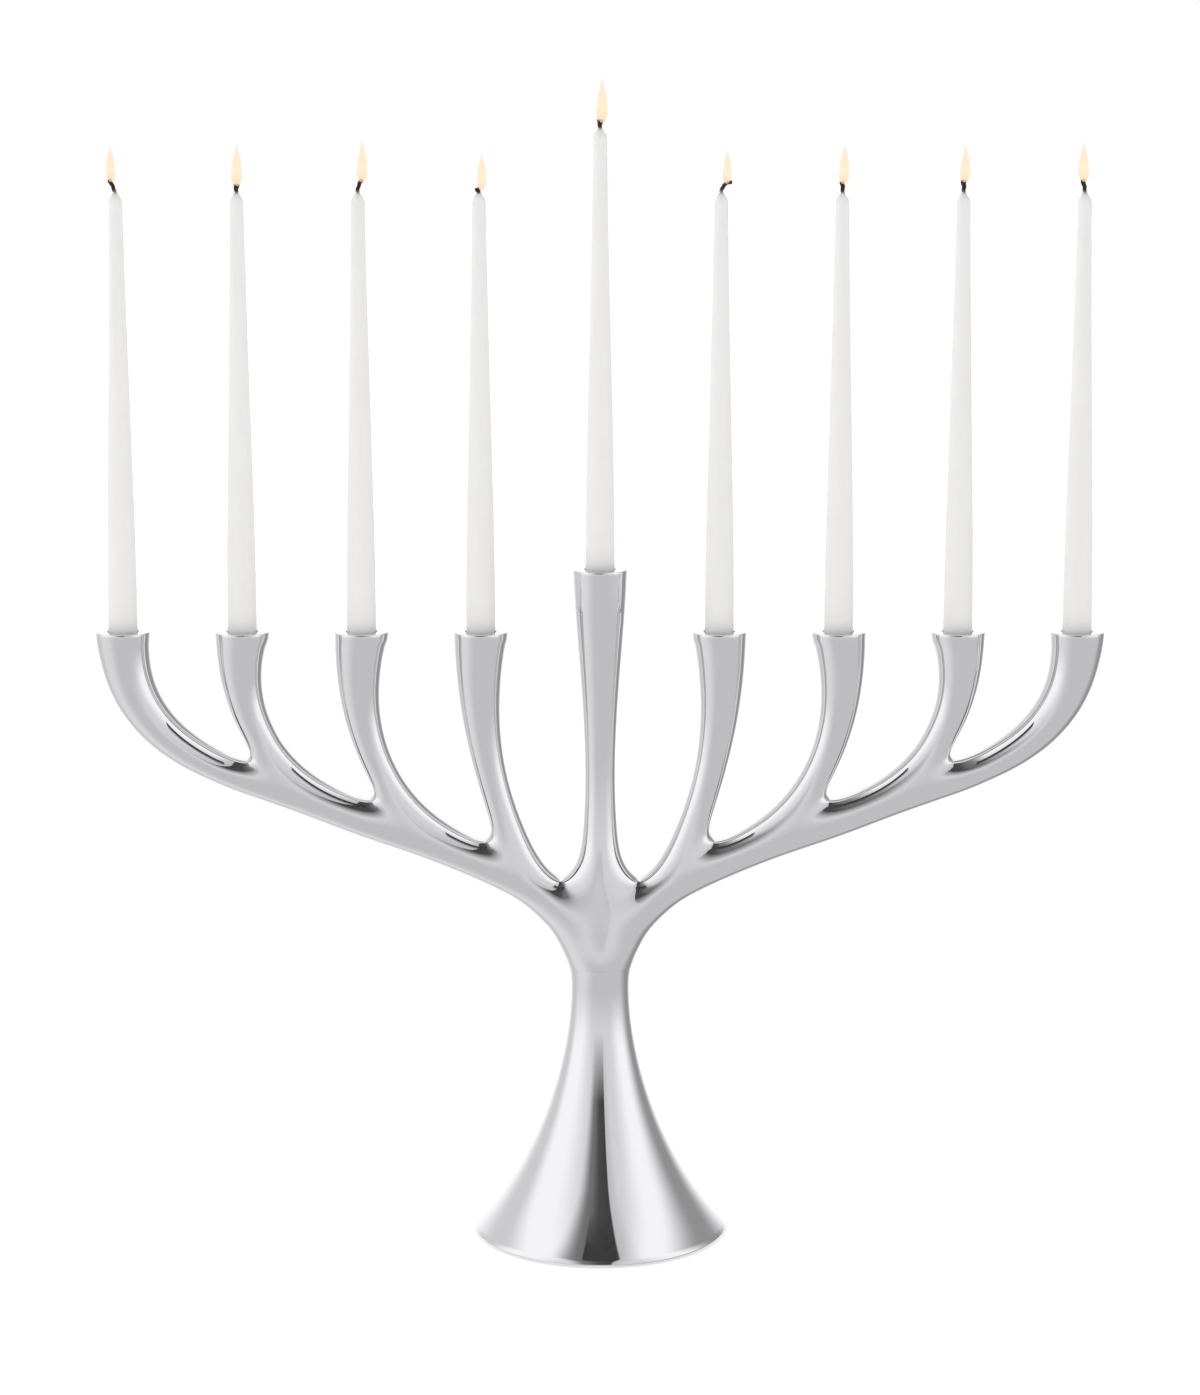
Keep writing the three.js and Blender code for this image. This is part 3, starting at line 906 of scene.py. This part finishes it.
def make_room(settings):
    """The studio round the menorah: a white backdrop behind, a flag and a softbox at each side, a
    dimmer room in front, and softboxes overhead with a dark gap between them."""
    world = bpy.data.worlds.new("studio_room")
    bpy.context.scene.world = world
    world.use_nodes = True
    tree = world.node_tree
    background = next(node for node in tree.nodes if node.type == "BACKGROUND")
    towards = add_node(tree, "ShaderNodeTexCoord").outputs["Generated"]
    axes = add_node(tree, "ShaderNodeSeparateXYZ", {"Vector": towards}).outputs
    forward = add_node(tree, "ShaderNodeMath", {0: axes["Y"], 1: -1.0}, operation="MULTIPLY")
    bearing = add_node(
        tree, "ShaderNodeMath", {0: axes["X"], 1: forward.outputs["Value"]}, operation="ARCTAN2"
    )
    degrees = add_node(tree, "ShaderNodeMath", {0: bearing.outputs["Value"]}, operation="DEGREES")
    rise = add_node(
        tree, "ShaderNodeMapRange",
        {"Value": axes["Z"], "From Min": -0.3, "From Max": 0.0}, interpolation_type="SMOOTHSTEP",
    )
    # The gap runs front to back overhead, widens towards the top and closes near the horizon.
    spread = add_node(
        tree, "ShaderNodeMapRange",
        {"Value": axes["Z"], "From Min": 0.65, "From Max": 0.9, "To Min": 1.0, "To Max": 0.8},
    )
    across = add_node(
        tree, "ShaderNodeMath", {0: axes["X"], 1: spread.outputs["Result"]}, operation="MULTIPLY"
    )
    front = add_node(
        tree, "ShaderNodeMapRange", {"Value": axes["Y"], "From Min": 0.16, "From Max": 0.06}
    )
    opening = add_node(
        tree, "ShaderNodeMapRange", {"Value": axes["Z"], "From Min": -0.04, "From Max": 0.3}
    )
    where = add_node(
        tree, "ShaderNodeMath", {0: front.outputs["Result"], 1: opening.outputs["Result"]},
        operation="MULTIPLY",
    )
    level, above = [], []
    for start, end, low_tone, high_tone in SURROUNDINGS.values():
        level += [(start, low_tone), (end, low_tone)]
        above += [(start, high_tone), (end, high_tone)]
    greys = []
    for source, reach, tones in (
        (degrees.outputs["Value"], 180, level),
        (degrees.outputs["Value"], 180, above),
        (across.outputs["Value"], GAP_REACH, GAP),
    ):
        share = add_node(
            tree, "ShaderNodeMapRange", {"Value": source, "From Min": -reach, "From Max": reach}
        )
        ramp = add_node(tree, "ShaderNodeValToRGB", {"Fac": share.outputs["Result"]})
        ramp.color_ramp.interpolation = "EASE"
        stops = ramp.color_ramp.elements
        while len(stops) < len(tones):
            stops.new(0.5)
        for stop, (place, tone) in zip(stops, tones):
            stop.position = (place + reach) / (2 * reach)
            stop.color = grey(tone)
        greys.append(ramp.outputs["Color"])
    low, high, gap = greys
    boxes = add_node(
        tree, "ShaderNodeMix", {"Factor": rise.outputs["Result"], "A": low, "B": high},
        data_type="RGBA",
    )
    room = add_node(
        tree, "ShaderNodeMix",
        {"Factor": where.outputs["Value"], "A": boxes.outputs["Result"], "B": gap},
        data_type="RGBA", blend_type="MULTIPLY",
    )
    seen = add_node(tree, "ShaderNodeLightPath").outputs["Is Camera Ray"]
    shown = add_node(
        tree, "ShaderNodeMix",
        {"Factor": seen, "A": room.outputs["Result"], "B": (*settings.backdrop, 1)},
        data_type="RGBA",
    )
    tree.links.new(shown.outputs["Result"], background.inputs["Color"])
    background.inputs["Strength"].default_value = 1.0


FLAG_SIZE = (0.15, 0.17, 1)
FLAG_PLACE = (0, -0.225, 0.33)
FLAG_FADE = (-0.31, -0.2)  # its front edge, and the line behind which it is quite opaque


def make_flag():
    """A small black flag over and before the branches. The camera doesn't see it, and the metal
    mirrors it along the boughs and in the crotches."""
    bm = bmesh.new()
    bmesh.ops.create_grid(bm, x_segments=1, y_segments=1, size=0.5)
    bmesh.ops.scale(bm, verts=bm.verts[:], vec=FLAG_SIZE)
    bmesh.ops.translate(bm, verts=bm.verts[:], vec=FLAG_PLACE)
    mesh = bpy.data.meshes.new("black_flag")
    bm.to_mesh(mesh)
    bm.free()
    flag = bpy.data.objects.new("black_flag", mesh)
    bpy.context.scene.collection.objects.link(flag)
    material, tree, shader = new_material("black_duvetyne", linear("#303030"))
    place = add_node(tree, "ShaderNodeTexCoord").outputs["Object"]
    nap = add_node(tree, "ShaderNodeTexNoise", {"Vector": place, "Scale": 900.0})
    shade = add_node(
        tree, "ShaderNodeMapRange", {"Value": nap.outputs["Fac"], "To Min": 0.03, "To Max": 0.05}
    )
    tree.links.new(shade.outputs["Result"], shader.inputs["Base Color"])
    shader.inputs["Roughness"].default_value = 1.0
    depth = add_node(tree, "ShaderNodeSeparateXYZ", {"Vector": place})
    solid = add_node(
        tree, "ShaderNodeMapRange",
        {"Value": depth.outputs["Y"], "From Min": FLAG_FADE[0], "From Max": FLAG_FADE[1]},
    )
    tree.links.new(solid.outputs["Result"], shader.inputs["Alpha"])
    mesh.materials.append(material)
    flag.visible_camera = False
    flag.visible_diffuse = False
    flag.visible_shadow = False


def make_camera(settings):
    """A long lens on a tripod, a little above the candle cups and turned down to the hub."""
    data = bpy.data.cameras.new("studio_camera")
    data.lens = settings.lens
    data.sensor_width = 36
    data.shift_y = settings.camera_shift
    camera = bpy.data.objects.new("studio_camera", data)
    camera.location = (0, -settings.camera_distance, settings.camera_height)
    camera.rotation_euler = (math.pi / 2 - settings.camera_pitch, 0, 0)
    bpy.context.scene.collection.objects.link(camera)
    bpy.context.scene.camera = camera


LAMP_PLACE = Vector((-0.5, -0.5, 1.4))
LAMP_AIM = Vector((0, 0, 0.15))
LAMP_SIZE = 1.2


def make_lamp(settings):
    """A soft area lamp that isn't mirrored in the metal."""
    data = bpy.data.lights.new("top_lamp", "AREA")
    data.size = LAMP_SIZE
    data.energy = settings.lamp_power
    lamp = bpy.data.objects.new("top_lamp", data)
    lamp.location = LAMP_PLACE
    lamp.rotation_euler = (LAMP_AIM - LAMP_PLACE).to_track_quat("-Z", "Y").to_euler()
    lamp.visible_glossy = False
    bpy.context.scene.collection.objects.link(lamp)


# ---------------------------------------------------------------- operators


class MakeCasting(bpy.types.Operator):
    """Model the polished casting of stem, branches and cups"""

    bl_idname = "menorah.make_casting"
    bl_label = "Branch Casting"
    bl_options = {"REGISTER", "UNDO"}

    def execute(self, context):
        settings = context.scene.menorah_casting
        make_branch_casting(settings, polished_aluminium(tuple(settings.metal)))
        return {"FINISHED"}


class MakeFoot(bpy.types.Operator):
    """Model the trumpet foot and its felt pad, and plate the hardware inside it"""

    bl_idname = "menorah.make_foot"
    bl_label = "Foot and Pad"
    bl_options = {"REGISTER", "UNDO"}

    def execute(self, context):
        settings = context.scene.menorah_foot
        make_trumpet_foot(settings, bpy.data.materials["polished_aluminium"])
        make_foot_pad(settings, wool_felt(tuple(settings.felt)))
        steel = plated_steel(tuple(settings.steel))
        for name in HARDWARE:
            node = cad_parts[name]
            node.data.materials.clear()
            node.data.materials.append(steel)
        return {"FINISHED"}


class MakeCandles(bpy.types.Operator):
    """Model the nine dipped tapers with their braided wicks"""

    bl_idname = "menorah.make_candles"
    bl_label = "Tapers and Wicks"
    bl_options = {"REGISTER", "UNDO"}

    def execute(self, context):
        settings = context.scene.menorah_candles
        wax = dipped_wax(tuple(settings.wax))
        cotton = burnt_cotton(tuple(settings.cotton), tuple(settings.char))
        for name in CANDLES:
            make_candle(name, settings, wax)
            make_wick(name, settings, cotton)
        return {"FINISHED"}


class LightCandles(bpy.types.Operator):
    """Give every wick a small pale flame"""

    bl_idname = "menorah.light_candles"
    bl_label = "Flames"
    bl_options = {"REGISTER", "UNDO"}

    def execute(self, context):
        settings = context.scene.menorah_candles
        fire = candle_fire(tuple(settings.flame), tuple(settings.flame_edge))
        for name in CANDLES:
            make_flame(name, fire)
        return {"FINISHED"}


class MakeStudio(bpy.types.Operator):
    """Set up the pale floor, the soft room, the black flag, the lamp and the camera"""

    bl_idname = "menorah.make_studio"
    bl_label = "Studio"
    bl_options = {"REGISTER", "UNDO"}

    def execute(self, context):
        settings = context.scene.menorah_studio
        make_floor(settings)
        make_room(settings)
        make_flag()
        make_lamp(settings)
        make_camera(settings)
        context.scene.view_settings.view_transform = "Standard"
        return {"FINISHED"}


class MenorahPanel(bpy.types.Panel):
    """Lists the menorah's pieces and their settings"""

    bl_idname = "VIEW3D_PT_menorah"
    bl_label = "Nine-Branch Menorah"
    bl_space_type = "VIEW_3D"
    bl_region_type = "UI"
    bl_category = "Menorah"

    def draw(self, context):
        layout = self.layout
        for operator in OPERATORS:
            layout.operator(operator.bl_idname)
        for attribute, group in SETTINGS.items():
            box = layout.box()
            box.label(text=group.__doc__)
            for name in group.__annotations__:
                box.prop(getattr(context.scene, attribute), name)


OPERATORS = [MakeStudio, MakeCasting, MakeFoot, MakeCandles, LightCandles]


def register():
    for cls in (*SETTINGS.values(), *OPERATORS, MenorahPanel):
        bpy.utils.register_class(cls)
    for attribute, group in SETTINGS.items():
        setattr(bpy.types.Scene, attribute, bpy.props.PointerProperty(type=group))


def unregister():
    for attribute in SETTINGS:
        delattr(bpy.types.Scene, attribute)
    for cls in reversed((*SETTINGS.values(), *OPERATORS, MenorahPanel)):
        bpy.utils.unregister_class(cls)


def main():
    register()
    bpy.ops.menorah.make_studio()
    bpy.ops.menorah.make_casting()
    bpy.ops.menorah.make_foot()
    bpy.ops.menorah.make_candles()
    bpy.ops.menorah.light_candles()


if __name__ == "__main__":
    main()
